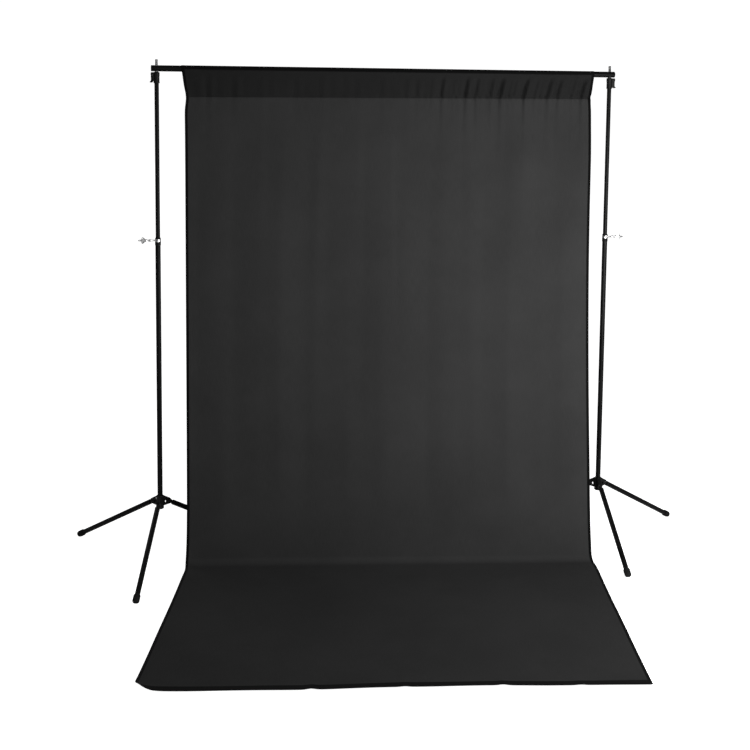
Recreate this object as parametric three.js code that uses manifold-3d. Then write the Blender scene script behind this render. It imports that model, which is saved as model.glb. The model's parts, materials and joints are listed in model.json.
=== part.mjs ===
// A backdrop stand set: two folding tripod stands, a three-piece crossbar and a cloth with a rod pocket.
// Millimetres, +Z up. X runs along the crossbar and -Y is the side that the cloth sweeps out to.

import * as THREE from "three";
import { mergeVertices } from "three/addons/utils/BufferGeometryUtils.js";
import Module from "manifold-3d";

const wasm = await Module();
wasm.setup();

// Driving dimensions
const STAND_SPACING = 1690;
const BAR_HEIGHT = 1804;
const CLAMP_HEIGHT = 1186;
const HINGE_HEIGHT = 213;
const HINGE_RADIUS = 33;
const FOOT_RADIUS = 406;
const FOOT_HEIGHT = 12;
const LEG_HEADINGS = {
  left: { outer: 139.5, front: 259.5, inner: 19.5 },
  right: { outer: 26.3, front: -93.7, inner: 146.3 },
};

// Fits
const GAP = 0.3;
const TUBE_WALL = 1.2;
const DRILL_REACH = 20;

// Sides of the round shapes
const ROUND = 16;
const SMALL_ROUND = 10;

// Crossbar
const BAR_RADIUS = 11;
const BAR_OVERHANG = 16;
const BAR_NECK = 60;
const BAR_BORE_CLEARANCE = 0.4;
const BAR_PLUG_DEPTH = 8;
const BAR_PLUG_HEAD = 4;

// Masts
const UPPER_RADIUS = 8;
const UPPER_WALL = 1;
const UPPER_TOP = BAR_HEIGHT - 34;
const UPPER_BOTTOM = 826;
const LOWER_RADIUS = 9.5;
const SLIDE_CLEARANCE = 0.4;
const LOWER_TOP = CLAMP_HEIGHT - 8;
const LOWER_BOTTOM = HINGE_HEIGHT - 21;
const BUSH_FOOT = 5;
const BUSH_DEPTH = 16;

// Spigot, socket and lever at the top of a mast
const PIN_RADIUS = 4.75;
const PIN_TOP = BAR_HEIGHT + 32;
const SPIGOT_RADIUS = 6.65;
const SPIGOT_BOTTOM = BAR_HEIGHT - 59;
const SOCKET_RADIUS = 11;
const SOCKET_TOP = BAR_HEIGHT - 13;
const SOCKET_BOTTOM = BAR_HEIGHT - 53;
const LEVER_HINGE_OUT = 15;
const LEVER_HINGE_HEIGHT = BAR_HEIGHT - 23;
const LEVER_PIN_RADIUS = 1.5;
const LEVER_WIDTH = 8;
const LEVER_CAM_RADIUS = 3.6;
const LEVER_INNER = 3.2;
const LEVER_OUTER = 5.5;
const LEVER_TIP = 9.5;
const LEVER_DROP = 24;
const LEVER_EAR_RADIUS = 4;
const LEVER_EAR_THICKNESS = 2.6;

// Clamp at the top of the lower tube
const SKIRT_RADIUS = 10.8;
const COLLAR_BOTTOM = CLAMP_HEIGHT - 18;
const COLLAR_TOP = CLAMP_HEIGHT + 10;
const CORE_RADIUS = 9.6;
const FLANGE_RADIUS = 10.2;
const BAND_RADIUS = 10.6;
const BAND_HALF = 5;
const SCREW_RADIUS = 3;
const SCREW_TIP = 9.4;
const SCREW_REACH = 71;
const SHOULDER_RADIUS = 4.5;
const SHOULDER_IN = 26;
const SHOULDER_OUT = 34;
const WING_IN = 45;
const WING_OUT = 63;
const WING_HALF = 12;
const WING_THICKNESS = 3;

// Hub and legs
const BOSS_RADIUS = 14;
const BOSS_HALF = 25;
const ARM_HALF_WIDTH = 6.3;
const EAR_RADIUS = 10.5;
const ARM_DROP = 4;
const WINDOW_OUT = 6.2;
const WINDOW_LENGTH = 6.5;
const WINDOW_HEIGHT = 11;
const SLOT_HALF_WIDTH = 3.3;
const TONGUE_HALF_WIDTH = 3;
const TONGUE_RADIUS = 6.7;
const LEG_PIN_RADIUS = 2.5;
const LEG_PIN_HEAD_RADIUS = 4;
const LEG_PIN_HEAD = 1.6;
const LEG_RADIUS = 9.2;
const LEG_START = 20;
const TONGUE_PLUG = 25;
const HUB_SCREW_TURN = 60;
const HUB_SCREW_DROP = 8;
const HUB_SCREW_RADIUS = 2;
const HUB_SCREW_HEAD_RADIUS = 3.6;
const FOOT_OUTER = 12.2;
const FOOT_LENGTH = 30;
const FOOT_SOLE = 12;

// Cloth
const CLOTH_THICKNESS = 2;
const CLOTH_LIFT = 1.5;
const POCKET_DEPTH = 100;
const POCKET_HALF_GAP = 2;
const CREASE_RADIUS = 50;
const DROP_BEND_SHARE = 0.66;
const CLOTH_COLUMNS = 4;
const CLOTH_LEFT = { top: -746, crease: [-748, -90], front: [-911, -1004] };
const CLOTH_RIGHT = { top: 778, crease: [742, -250], front: [593, -1198] };

const steelBlack = { color: 0x17171a, roughness: 0.42, metalness: 0.6 };
const plasticBlack = { color: 0x141415, roughness: 0.55, metalness: 0 };
const chrome = { color: 0xd6d8da, roughness: 0.12, metalness: 1 };
const rubberBlack = { color: 0x111111, roughness: 0.85, metalness: 0 };
const clothBlack = { color: 0x1b1b1c, roughness: 0.95, metalness: 0 };

const legRise = HINGE_HEIGHT - FOOT_HEIGHT;
const legRun = FOOT_RADIUS - HINGE_RADIUS;
const legSlope = Math.atan2(legRise, legRun);
const footDistance = Math.hypot(legRise, legRun);

function mesh(name, geometry, look) {
  const part = new THREE.Mesh(geometry, new THREE.MeshStandardMaterial(look));
  part.name = name;
  return part;
}

function solid(geometry) {
  const bare = geometry.clone();
  bare.deleteAttribute("normal");
  bare.deleteAttribute("uv");
  const merged = mergeVertices(bare, 1e-4);
  return new wasm.Manifold(
    new wasm.Mesh({
      numProp: 3,
      vertProperties: new Float32Array(merged.attributes.position.array),
      triVerts: new Uint32Array(merged.index.array),
    }),
  );
}

function surface(manifold) {
  const data = manifold.getMesh();
  const geometry = new THREE.BufferGeometry();
  geometry.setAttribute("position", new THREE.BufferAttribute(new Float32Array(data.vertProperties), 3));
  geometry.setIndex(new THREE.BufferAttribute(new Uint32Array(data.triVerts), 1));
  geometry.computeVertexNormals();
  return geometry;
}

function combine(base, joined, removed = []) {
  let body = solid(base);
  for (const piece of joined) {
    body = body.add(solid(piece));
  }
  for (const piece of removed) {
    body = body.subtract(solid(piece));
  }
  return surface(body);
}

// A turned shape about Z from points of [radius, height], listed anticlockwise.
function turned(points, sides = ROUND) {
  const outline = points.map(([radius, height]) => new THREE.Vector2(radius, height));
  return new THREE.LatheGeometry(outline, sides).rotateX(Math.PI / 2);
}

function tube(outer, inner, bottom, top, sides = ROUND) {
  return turned([[inner, bottom], [outer, bottom], [outer, top], [inner, top], [inner, bottom]], sides);
}

function rod(radius, bottom, top, sides = SMALL_ROUND) {
  return turned([[0, bottom], [radius, bottom], [radius, top], [0, top]], sides);
}

// A rod along Y, centred on the origin.
function crossRod(radius, half) {
  return rod(radius, -half, half).rotateX(Math.PI / 2);
}

// Lays a shape that stands along Z down along +X.
function alongX(geometry) {
  return geometry.rotateY(Math.PI / 2);
}

// A flat plate from an outline in X and Z, centred on Y = 0.
function upright(outline, thickness) {
  const options = { depth: thickness, bevelEnabled: false, curveSegments: 6 };
  const plate = new THREE.ExtrudeGeometry(outline, options);
  return plate.translate(0, 0, -thickness / 2).rotateX(Math.PI / 2);
}

function block(x, y, z, at) {
  return new THREE.BoxGeometry(x, y, z).translate(...at);
}

function crossbar() {
  const halfLength = STAND_SPACING / 2 + BAR_OVERHANG;
  const joint = halfLength / 3;
  const inner = BAR_RADIUS - TUBE_WALL;
  const neck = inner - GAP;
  const bore = rod(PIN_RADIUS + BAR_BORE_CLEARANCE, -DRILL_REACH, DRILL_REACH);
  bore.translate(STAND_SPACING / 2, 0, 0);
  const outerPiece = combine(alongX(tube(BAR_RADIUS, inner, joint + GAP / 2, halfLength)), [], [bore]);
  const middleOuter = [
    [neck, -joint - BAR_NECK],
    [neck, -joint],
    [BAR_RADIUS, -joint + GAP / 2],
    [BAR_RADIUS, joint - GAP / 2],
    [neck, joint],
    [neck, joint + BAR_NECK],
  ];
  const middleInner = middleOuter.map(([radius, at]) => [radius - TUBE_WALL, at]).reverse();
  const middle = alongX(turned([...middleOuter, ...middleInner, middleOuter[0]]));
  const plug = turned([
    [0, halfLength - BAR_PLUG_DEPTH],
    [inner - GAP, halfLength - BAR_PLUG_DEPTH],
    [inner - GAP, halfLength + GAP],
    [BAR_RADIUS + 0.3, halfLength + GAP],
    [BAR_RADIUS, halfLength + BAR_PLUG_HEAD / 2],
    [BAR_RADIUS - 2.5, halfLength + BAR_PLUG_HEAD - 0.5],
    [0, halfLength + BAR_PLUG_HEAD],
  ]);
  const group = new THREE.Group();
  group.position.z = BAR_HEIGHT;
  group.add(
    mesh("crossbar_right", outerPiece, steelBlack),
    mesh("crossbar_left", outerPiece.clone().rotateZ(Math.PI), steelBlack),
    mesh("crossbar_middle", middle, steelBlack),
    mesh("crossbar_plug_right", alongX(plug), plasticBlack),
    mesh("crossbar_plug_left", plug.clone().rotateZ(Math.PI), plasticBlack),
  );
  return group;
}

// The middle line of the cloth at one side edge, as [y, z] stations from the pocket's hem to the front.
function clothEdge({ crease, front }) {
  const seam = BAR_HEIGHT - POCKET_DEPTH;
  const wrap = BAR_RADIUS + CLOTH_THICKNESS / 2 + 0.5;
  const reach = Math.hypot(POCKET_HALF_GAP, POCKET_DEPTH);
  const dip = Math.atan2(POCKET_DEPTH, POCKET_HALF_GAP) - Math.acos(wrap / reach);
  const over = new THREE.EllipseCurve(0, BAR_HEIGHT, wrap, wrap, -dip, Math.PI + dip);
  const bend = CLOTH_LIFT + (seam - CLOTH_LIFT) * DROP_BEND_SHARE;
  const lean = Math.atan2(-POCKET_HALF_GAP - crease[1], bend - CLOTH_LIFT);
  const turnAt = crease[1] - CREASE_RADIUS * Math.tan((Math.PI / 2 - lean) / 2);
  const turn = new THREE.EllipseCurve(
    turnAt, CLOTH_LIFT + CREASE_RADIUS, CREASE_RADIUS, CREASE_RADIUS, -lean, -Math.PI / 2, true,
  );
  const stitch = new THREE.Vector2(-POCKET_HALF_GAP, seam);
  const drop = new THREE.QuadraticBezierCurve(
    stitch, new THREE.Vector2(-POCKET_HALF_GAP, bend), turn.getPoint(0),
  );
  const floor = new THREE.LineCurve(turn.getPoint(1), new THREE.Vector2(front[1], CLOTH_LIFT));
  return [
    new THREE.Vector2(POCKET_HALF_GAP, seam),
    ...over.getPoints(10),
    ...drop.getPoints(14),
    ...turn.getPoints(6).slice(1),
    ...floor.getPoints(8).slice(1),
  ];
}

function edgeX(edge, at) {
  if (at.y > CLOTH_LIFT + 1) {
    return THREE.MathUtils.lerp(edge.crease[0], edge.top, at.y / BAR_HEIGHT);
  }
  const forward = (at.x - edge.crease[1]) / (edge.front[1] - edge.crease[1]);
  return THREE.MathUtils.lerp(edge.crease[0], edge.front[0], forward);
}

// One sheet that wraps the bar, drops to the floor and sweeps forward, a little askew to the bar.
function backdropCloth() {
  const sides = [CLOTH_LEFT, CLOTH_RIGHT].map((edge) => ({ edge, path: clothEdge(edge) }));
  const stations = sides[0].path.length;
  const geometry = new THREE.BoxGeometry(1, 1, 1, CLOTH_COLUMNS, 1, stations - 1);
  const position = geometry.attributes.position;
  const corner = ({ edge, path }, index, offset) => {
    const before = path[Math.max(index - 1, 0)];
    const after = path[Math.min(index + 1, stations - 1)];
    const along = after.clone().sub(before).normalize();
    const at = path[index];
    return new THREE.Vector3(edgeX(edge, at), at.x + along.y * offset, at.y - along.x * offset);
  };
  for (let i = 0; i < position.count; i += 1) {
    const index = Math.round((position.getZ(i) + 0.5) * (stations - 1));
    const offset = position.getY(i) * CLOTH_THICKNESS;
    const [left, right] = sides.map((side) => corner(side, index, offset));
    left.lerp(right, position.getX(i) + 0.5);
    position.setXYZ(i, left.x, left.y, left.z);
  }
  geometry.computeVertexNormals();
  return mesh("backdrop_cloth", geometry, clothBlack);
}

function spigot() {
  return turned([
    [0, SPIGOT_BOTTOM],
    [SPIGOT_RADIUS, SPIGOT_BOTTOM],
    [SPIGOT_RADIUS, BAR_HEIGHT - BAR_RADIUS - GAP],
    [PIN_RADIUS, BAR_HEIGHT - BAR_RADIUS - GAP],
    [PIN_RADIUS, PIN_TOP - 1],
    [PIN_RADIUS - 1, PIN_TOP],
    [0, PIN_TOP],
  ]);
}

// The sleeve over the mast's top, with two ears on its outer side for the lever.
function topSocket() {
  const sleeve = turned([
    [UPPER_RADIUS + GAP, SOCKET_BOTTOM],
    [SOCKET_RADIUS, SOCKET_BOTTOM],
    [SOCKET_RADIUS, SOCKET_TOP - 1.5],
    [SOCKET_RADIUS - 1.5, SOCKET_TOP],
    [SPIGOT_RADIUS + GAP, SOCKET_TOP],
    [SPIGOT_RADIUS + GAP, UPPER_TOP + GAP],
    [UPPER_RADIUS + GAP, UPPER_TOP + GAP],
    [UPPER_RADIUS + GAP, SOCKET_BOTTOM],
  ]);
  const root = SOCKET_RADIUS - 2;
  const outline = new THREE.Shape();
  outline.moveTo(root, LEVER_HINGE_HEIGHT - LEVER_EAR_RADIUS);
  outline.lineTo(LEVER_HINGE_OUT, LEVER_HINGE_HEIGHT - LEVER_EAR_RADIUS);
  outline.absarc(LEVER_HINGE_OUT, LEVER_HINGE_HEIGHT, LEVER_EAR_RADIUS, -Math.PI / 2, Math.PI / 2, false);
  outline.lineTo(root, LEVER_HINGE_HEIGHT + LEVER_EAR_RADIUS);
  const earAt = LEVER_WIDTH / 2 + GAP + LEVER_EAR_THICKNESS / 2;
  const ears = [-earAt, earAt].map((y) => upright(outline, LEVER_EAR_THICKNESS).translate(0, y, 0));
  const core = rod(SPIGOT_RADIUS + GAP, SOCKET_BOTTOM, SOCKET_TOP, ROUND);
  return combine(sleeve, ears, [leverBore(), core]);
}

// The drilled hole that the lever turns on.
function leverBore() {
  return crossRod(LEVER_PIN_RADIUS + GAP, DRILL_REACH).translate(LEVER_HINGE_OUT, 0, LEVER_HINGE_HEIGHT);
}

// A thick cam lever that hangs beside the socket, with a flared tip to lift it by.
function lockLever() {
  const [x, z] = [LEVER_HINGE_OUT, LEVER_HINGE_HEIGHT];
  const flare = LEVER_DROP - 8;
  const outline = new THREE.Shape();
  outline.absarc(x, z, LEVER_CAM_RADIUS, Math.PI, 0, true);
  outline.quadraticCurveTo(x + LEVER_OUTER, z - 2, x + LEVER_OUTER, z - 6);
  outline.lineTo(x + LEVER_OUTER, z - flare);
  outline.quadraticCurveTo(x + LEVER_OUTER, z - flare - 3, x + LEVER_TIP, z - LEVER_DROP + 3);
  outline.lineTo(x + LEVER_TIP - 1, z - LEVER_DROP);
  outline.lineTo(x + 1, z - LEVER_DROP);
  outline.lineTo(x - LEVER_INNER, z - LEVER_DROP + 5);
  outline.lineTo(x - LEVER_INNER, z - 4);
  return combine(upright(outline, LEVER_WIDTH), [], [leverBore()]);
}

function leverPin() {
  const half = LEVER_WIDTH / 2 + GAP + LEVER_EAR_THICKNESS + 0.7;
  return crossRod(LEVER_PIN_RADIUS, half).translate(LEVER_HINGE_OUT, 0, LEVER_HINGE_HEIGHT);
}

// A bush on the upper tube's lower end that guides it in the lower tube.
function tubePlug() {
  const inside = UPPER_RADIUS - UPPER_WALL - GAP;
  return turned([
    [0, UPPER_BOTTOM - BUSH_FOOT],
    [UPPER_RADIUS - 0.4, UPPER_BOTTOM - BUSH_FOOT],
    [UPPER_RADIUS, UPPER_BOTTOM - BUSH_FOOT + 1],
    [UPPER_RADIUS, UPPER_BOTTOM - GAP],
    [inside, UPPER_BOTTOM - GAP],
    [inside, UPPER_BOTTOM + BUSH_DEPTH],
    [0, UPPER_BOTTOM + BUSH_DEPTH],
  ]);
}

// The sleeve that grips both tubes, with a groove for the chrome band.
function clampCollar() {
  const groove = BAND_HALF + GAP;
  const sleeve = turned([
    [LOWER_RADIUS + GAP, COLLAR_BOTTOM],
    [SKIRT_RADIUS - 0.5, COLLAR_BOTTOM],
    [SKIRT_RADIUS, COLLAR_BOTTOM + 1.5],
    [SKIRT_RADIUS, CLAMP_HEIGHT - groove],
    [CORE_RADIUS, CLAMP_HEIGHT - groove],
    [CORE_RADIUS, CLAMP_HEIGHT + groove],
    [FLANGE_RADIUS, CLAMP_HEIGHT + groove],
    [FLANGE_RADIUS, COLLAR_TOP - 1],
    [FLANGE_RADIUS - 1, COLLAR_TOP],
    [UPPER_RADIUS + GAP, COLLAR_TOP],
    [UPPER_RADIUS + GAP, LOWER_TOP + GAP],
    [LOWER_RADIUS + GAP, LOWER_TOP + GAP],
    [LOWER_RADIUS + GAP, COLLAR_BOTTOM],
  ]);
  return combine(sleeve, [], [screwBore()]);
}

// The hole that the wing screw passes through on one side of the clamp.
function screwBore() {
  return alongX(rod(SCREW_RADIUS + GAP, SCREW_RADIUS, DRILL_REACH)).translate(0, 0, CLAMP_HEIGHT);
}

function clampBand() {
  const ring = tube(BAND_RADIUS, CORE_RADIUS + GAP, CLAMP_HEIGHT - BAND_HALF, CLAMP_HEIGHT + BAND_HALF);
  return combine(ring, [], [screwBore()]);
}

// A wing screw that points away from the cloth.
function clampScrew() {
  const shank = alongX(turned([
    [0, SCREW_TIP],
    [SCREW_RADIUS, SCREW_TIP],
    [SCREW_RADIUS, SHOULDER_IN],
    [SHOULDER_RADIUS, SHOULDER_IN + 1],
    [SHOULDER_RADIUS, SHOULDER_OUT - 1],
    [SCREW_RADIUS, SHOULDER_OUT],
    [SCREW_RADIUS, WING_IN - 6],
    [SCREW_RADIUS + 2, WING_IN - 3],
    [SCREW_RADIUS + 2, WING_OUT - 4],
    [SCREW_RADIUS, WING_OUT],
    [SCREW_RADIUS - 0.5, SCREW_REACH],
    [0, SCREW_REACH],
  ]));
  const wing = new THREE.Shape();
  wing.moveTo(WING_IN, 0);
  wing.quadraticCurveTo(WING_IN + 2, WING_HALF * 0.6, WING_IN + 5, WING_HALF - 2);
  wing.quadraticCurveTo(WING_IN + 10, WING_HALF + 2, WING_OUT - 2, WING_HALF - 2);
  wing.quadraticCurveTo(WING_OUT - 4, WING_HALF * 0.4, WING_OUT - 8, 0);
  const wings = [0, Math.PI].map((turn) => upright(wing, WING_THICKNESS).rotateX(turn));
  return combine(shank, wings).translate(0, 0, CLAMP_HEIGHT);
}

// The small pad that the screw's tip presses against the upper tube.
function pressurePad() {
  const face = UPPER_RADIUS + GAP;
  return alongX(rod(SCREW_RADIUS - 0.2, face, SCREW_TIP - GAP)).translate(0, 0, CLAMP_HEIGHT);
}

// One arm of the hub: a channel, open below, that slopes with the leg and stops it from rising.
function hubArm(heading) {
  const inner = BOSS_RADIUS - 3;
  const edgeX = HINGE_RADIUS + EAR_RADIUS * Math.sin(legSlope);
  const edgeZ = EAR_RADIUS * Math.cos(legSlope);
  const outline = new THREE.Shape();
  outline.moveTo(inner, edgeZ + (edgeX - inner) * Math.tan(legSlope));
  outline.lineTo(edgeX, edgeZ);
  outline.absarc(HINGE_RADIUS, 0, EAR_RADIUS, Math.PI / 2 - legSlope, -Math.PI / 2, true);
  outline.lineTo(inner, -EAR_RADIUS - ARM_DROP);
  const slotDepth = 2 * DRILL_REACH;
  const slotLength = 3 * DRILL_REACH;
  const slotAt = [slotLength / 2, 0, TONGUE_RADIUS + GAP - slotDepth / 2];
  const slot = block(slotLength, 2 * SLOT_HALF_WIDTH, slotDepth, slotAt);
  const slotStart = BOSS_RADIUS + 1;
  slot.rotateY(legSlope).translate(slotStart, 0, (HINGE_RADIUS - slotStart) * Math.tan(legSlope));
  const windowAt = [BOSS_RADIUS + WINDOW_OUT, 0, -1];
  const window = block(WINDOW_LENGTH, 4 * ARM_HALF_WIDTH, WINDOW_HEIGHT, windowAt);
  const bore = crossRod(LEG_PIN_RADIUS + GAP, DRILL_REACH).translate(HINGE_RADIUS, 0, 0);
  const arm = combine(upright(outline, 2 * ARM_HALF_WIDTH), [], [slot, window, bore]);
  return arm.rotateZ(THREE.MathUtils.degToRad(heading));
}

function hub(headings) {
  const boss = turned([
    [0, -BOSS_HALF],
    [BOSS_RADIUS - 2, -BOSS_HALF],
    [BOSS_RADIUS, -BOSS_HALF + 2],
    [BOSS_RADIUS, BOSS_HALF - 1.5],
    [BOSS_RADIUS - 1.5, BOSS_HALF],
    [0, BOSS_HALF],
  ]);
  const seat = rod(LOWER_RADIUS + GAP, LOWER_BOTTOM - HINGE_HEIGHT - GAP, BOSS_HALF + 5, ROUND);
  const screwHole = alongX(rod(HUB_SCREW_RADIUS + GAP, LOWER_RADIUS / 2, DRILL_REACH));
  screwHole.rotateZ(THREE.MathUtils.degToRad(headings[0] + HUB_SCREW_TURN));
  screwHole.translate(0, 0, BOSS_HALF - HUB_SCREW_DROP);
  return combine(boss, headings.map(hubArm), [seat, screwHole]);
}

function hubScrew(heading) {
  const head = BOSS_RADIUS + GAP;
  const screw = alongX(turned([
    [0, LOWER_RADIUS + GAP],
    [HUB_SCREW_RADIUS, LOWER_RADIUS + GAP],
    [HUB_SCREW_RADIUS, head],
    [HUB_SCREW_HEAD_RADIUS, head],
    [HUB_SCREW_HEAD_RADIUS - 0.4, head + 2],
    [0, head + 2.6],
  ], SMALL_ROUND));
  return screw.rotateZ(THREE.MathUtils.degToRad(heading)).translate(0, 0, BOSS_HALF - HUB_SCREW_DROP);
}

// The flat tongue that turns on the hub's pin, with a shoulder and a plug for the leg tube.
function legTongue() {
  const outline = new THREE.Shape();
  outline.absarc(0, 0, TONGUE_RADIUS, Math.PI / 2, 1.5 * Math.PI, false);
  outline.lineTo(LEG_START - 2, -TONGUE_RADIUS);
  outline.lineTo(LEG_START - 2, TONGUE_RADIUS);
  const tongue = upright(outline, 2 * TONGUE_HALF_WIDTH);
  const plugRadius = LEG_RADIUS - TUBE_WALL - GAP;
  const plug = alongX(turned([
    [0, LEG_START - 4],
    [LEG_RADIUS - 1, LEG_START - 4],
    [LEG_RADIUS + 0.4, LEG_START - 2.5],
    [LEG_RADIUS + 0.4, LEG_START],
    [plugRadius, LEG_START],
    [plugRadius, LEG_START + TONGUE_PLUG],
    [0, LEG_START + TONGUE_PLUG],
  ]));
  return combine(tongue, [plug], [crossRod(LEG_PIN_RADIUS + GAP, DRILL_REACH)]);
}

function legPin() {
  const half = ARM_HALF_WIDTH + GAP;
  return turned([
    [0, -half - LEG_PIN_HEAD],
    [LEG_PIN_RADIUS, -half - LEG_PIN_HEAD],
    [LEG_PIN_HEAD_RADIUS, -half],
    [LEG_PIN_RADIUS, -half],
    [LEG_PIN_RADIUS, half],
    [LEG_PIN_HEAD_RADIUS, half],
    [LEG_PIN_RADIUS, half + LEG_PIN_HEAD],
    [0, half + LEG_PIN_HEAD],
  ], SMALL_ROUND).rotateX(Math.PI / 2);
}

// A rubber cup on the leg's end, cut flat where it stands on the floor.
function foot() {
  const start = footDistance - FOOT_LENGTH / 2;
  const end = footDistance + FOOT_LENGTH / 2;
  const bore = LEG_RADIUS + GAP;
  const cup = alongX(turned([
    [0, end - FOOT_SOLE + GAP],
    [bore, end - FOOT_SOLE + GAP],
    [bore, start],
    [FOOT_OUTER - 1, start],
    [FOOT_OUTER, start + 2],
    [FOOT_OUTER, end - 3],
    [FOOT_OUTER - 4, end],
    [0, end],
  ]));
  const ground = block(120, 60, 40, [end, 0, -20]);
  ground.translate(-HINGE_RADIUS, 0, -HINGE_HEIGHT).rotateY(-legSlope);
  return combine(cup, [], [ground]);
}

function leg(prefix, heading) {
  const group = new THREE.Group();
  group.rotation.z = THREE.MathUtils.degToRad(heading);
  const hinge = new THREE.Group();
  hinge.position.set(HINGE_RADIUS, 0, HINGE_HEIGHT);
  const sloped = new THREE.Group();
  sloped.rotation.y = legSlope;
  const shaftEnd = footDistance + FOOT_LENGTH / 2 - FOOT_SOLE;
  const shaft = alongX(tube(LEG_RADIUS, LEG_RADIUS - TUBE_WALL, LEG_START + GAP, shaftEnd));
  sloped.add(
    mesh(`${prefix}_leg_tongue`, legTongue(), plasticBlack),
    mesh(`${prefix}_leg_tube`, shaft, steelBlack),
    mesh(`${prefix}_foot`, foot(), rubberBlack),
  );
  hinge.add(sloped, mesh(`${prefix}_leg_pin`, legPin(), steelBlack));
  group.add(hinge);
  return group;
}

function mast(side) {
  const upperTube = tube(UPPER_RADIUS, UPPER_RADIUS - UPPER_WALL, UPPER_BOTTOM, UPPER_TOP);
  const lowerTube = tube(LOWER_RADIUS, UPPER_RADIUS + SLIDE_CLEARANCE, LOWER_BOTTOM, LOWER_TOP);
  const group = new THREE.Group();
  group.add(
    mesh(`${side}_upper_tube`, upperTube, steelBlack),
    mesh(`${side}_tube_plug`, tubePlug(), plasticBlack),
    mesh(`${side}_spigot`, spigot(), chrome),
    mesh(`${side}_top_socket`, topSocket(), plasticBlack),
    mesh(`${side}_lock_lever`, lockLever(), plasticBlack),
    mesh(`${side}_lever_pin`, leverPin(), chrome),
    mesh(`${side}_lower_tube`, lowerTube, steelBlack),
    mesh(`${side}_clamp_collar`, clampCollar(), plasticBlack),
    mesh(`${side}_clamp_band`, clampBand(), chrome),
    mesh(`${side}_clamp_screw`, clampScrew(), chrome),
    mesh(`${side}_pressure_pad`, pressurePad(), rubberBlack),
  );
  return group;
}

function stand(side) {
  const outward = side === "left" ? -1 : 1;
  const group = new THREE.Group();
  group.position.x = (outward * STAND_SPACING) / 2;
  const turnedMast = mast(side);
  turnedMast.rotation.z = outward < 0 ? Math.PI : 0;
  group.add(turnedMast);
  const headings = Object.values(LEG_HEADINGS[side]);
  const hubMesh = mesh(`${side}_hub`, hub(headings), plasticBlack);
  const screwMesh = mesh(`${side}_hub_screw`, hubScrew(headings[0] + HUB_SCREW_TURN), chrome);
  hubMesh.position.z = HINGE_HEIGHT;
  screwMesh.position.z = HINGE_HEIGHT;
  group.add(hubMesh, screwMesh);
  for (const [place, heading] of Object.entries(LEG_HEADINGS[side])) {
    group.add(leg(`${side}_${place}`, heading));
  }
  return group;
}

const backdropStand = new THREE.Group();
backdropStand.add(crossbar(), backdropCloth(), stand("left"), stand("right"));

// The origin goes to the middle of the set's outline on the floor.
const box = new THREE.Box3().setFromObject(backdropStand, true);
const middle = box.getCenter(new THREE.Vector3());
backdropStand.position.set(-middle.x, -middle.y, -box.min.z);

export default backdropStand;
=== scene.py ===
"""A backdrop stand set: two folding tripod stands, a crossbar in three sections, and a black cloth
that hangs from it by a rod pocket.

Metres, +Z up. X runs along the crossbar, and -Y is the side that the cloth sweeps out to."""

import json
import math

import bmesh
import bpy
import numpy as np
from mathutils import Matrix, Vector


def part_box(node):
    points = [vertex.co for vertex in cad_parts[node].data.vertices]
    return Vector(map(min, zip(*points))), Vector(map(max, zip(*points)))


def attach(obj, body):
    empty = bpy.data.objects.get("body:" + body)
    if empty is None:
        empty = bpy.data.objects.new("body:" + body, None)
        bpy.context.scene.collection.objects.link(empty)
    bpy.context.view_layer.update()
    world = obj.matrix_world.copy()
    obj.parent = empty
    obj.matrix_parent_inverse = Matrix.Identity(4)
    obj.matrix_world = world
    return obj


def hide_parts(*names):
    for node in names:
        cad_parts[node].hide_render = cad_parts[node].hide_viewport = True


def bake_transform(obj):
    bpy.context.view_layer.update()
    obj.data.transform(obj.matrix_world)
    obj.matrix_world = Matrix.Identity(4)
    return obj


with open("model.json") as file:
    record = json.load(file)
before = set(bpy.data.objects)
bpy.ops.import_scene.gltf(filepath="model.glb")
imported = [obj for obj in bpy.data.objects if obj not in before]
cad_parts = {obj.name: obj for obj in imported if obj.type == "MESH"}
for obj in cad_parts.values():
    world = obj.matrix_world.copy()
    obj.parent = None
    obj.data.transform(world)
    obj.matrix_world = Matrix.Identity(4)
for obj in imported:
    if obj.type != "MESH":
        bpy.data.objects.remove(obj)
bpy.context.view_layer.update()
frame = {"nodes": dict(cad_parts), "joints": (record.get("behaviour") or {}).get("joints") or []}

MM = 0.001
SHARP_ANGLE = 40
SIDES = ("left", "right")
PLACES = ("outer", "front", "inner")
JOINTS = {joint["name"]: joint for joint in frame["joints"]}


def centre(node):
    low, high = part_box(node)
    return (Vector(low) + Vector(high)) / 2


BAR = centre("crossbar_middle")
MAST = {side: centre(f"{side}_lower_tube") for side in SIDES}
OUTWARD = {"left": -1, "right": 1}
FLOOR = 0.0
ALONG_X = Matrix.Rotation(math.pi / 2, 4, "Y")
UPRIGHT = Matrix.Rotation(math.pi / 2, 4, "X")


def stands_for(piece, node, body):
    """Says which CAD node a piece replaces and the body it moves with."""
    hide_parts(node)
    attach(piece, body)


# ------------ shapes


def soften(points, radius=0.4 * MM, steps=3):
    """Rounds the corners of an open outline, apart from its two ends."""
    most_of_side = 0.45
    points = [Vector(p) for p in points]
    made = [points[0]]
    for before, corner, after in zip(points, points[1:], points[2:]):
        shorter_side = min((before - corner).length, (after - corner).length)
        reach = min(radius, shorter_side * most_of_side)
        start = corner + (before - corner).normalized() * reach
        end = corner + (after - corner).normalized() * reach
        for i in range(steps + 1):
            t = i / steps
            made.append(start * (1 - t) ** 2 + corner * 2 * t * (1 - t) + end * t * t)
    made.append(points[-1])
    return made


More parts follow.
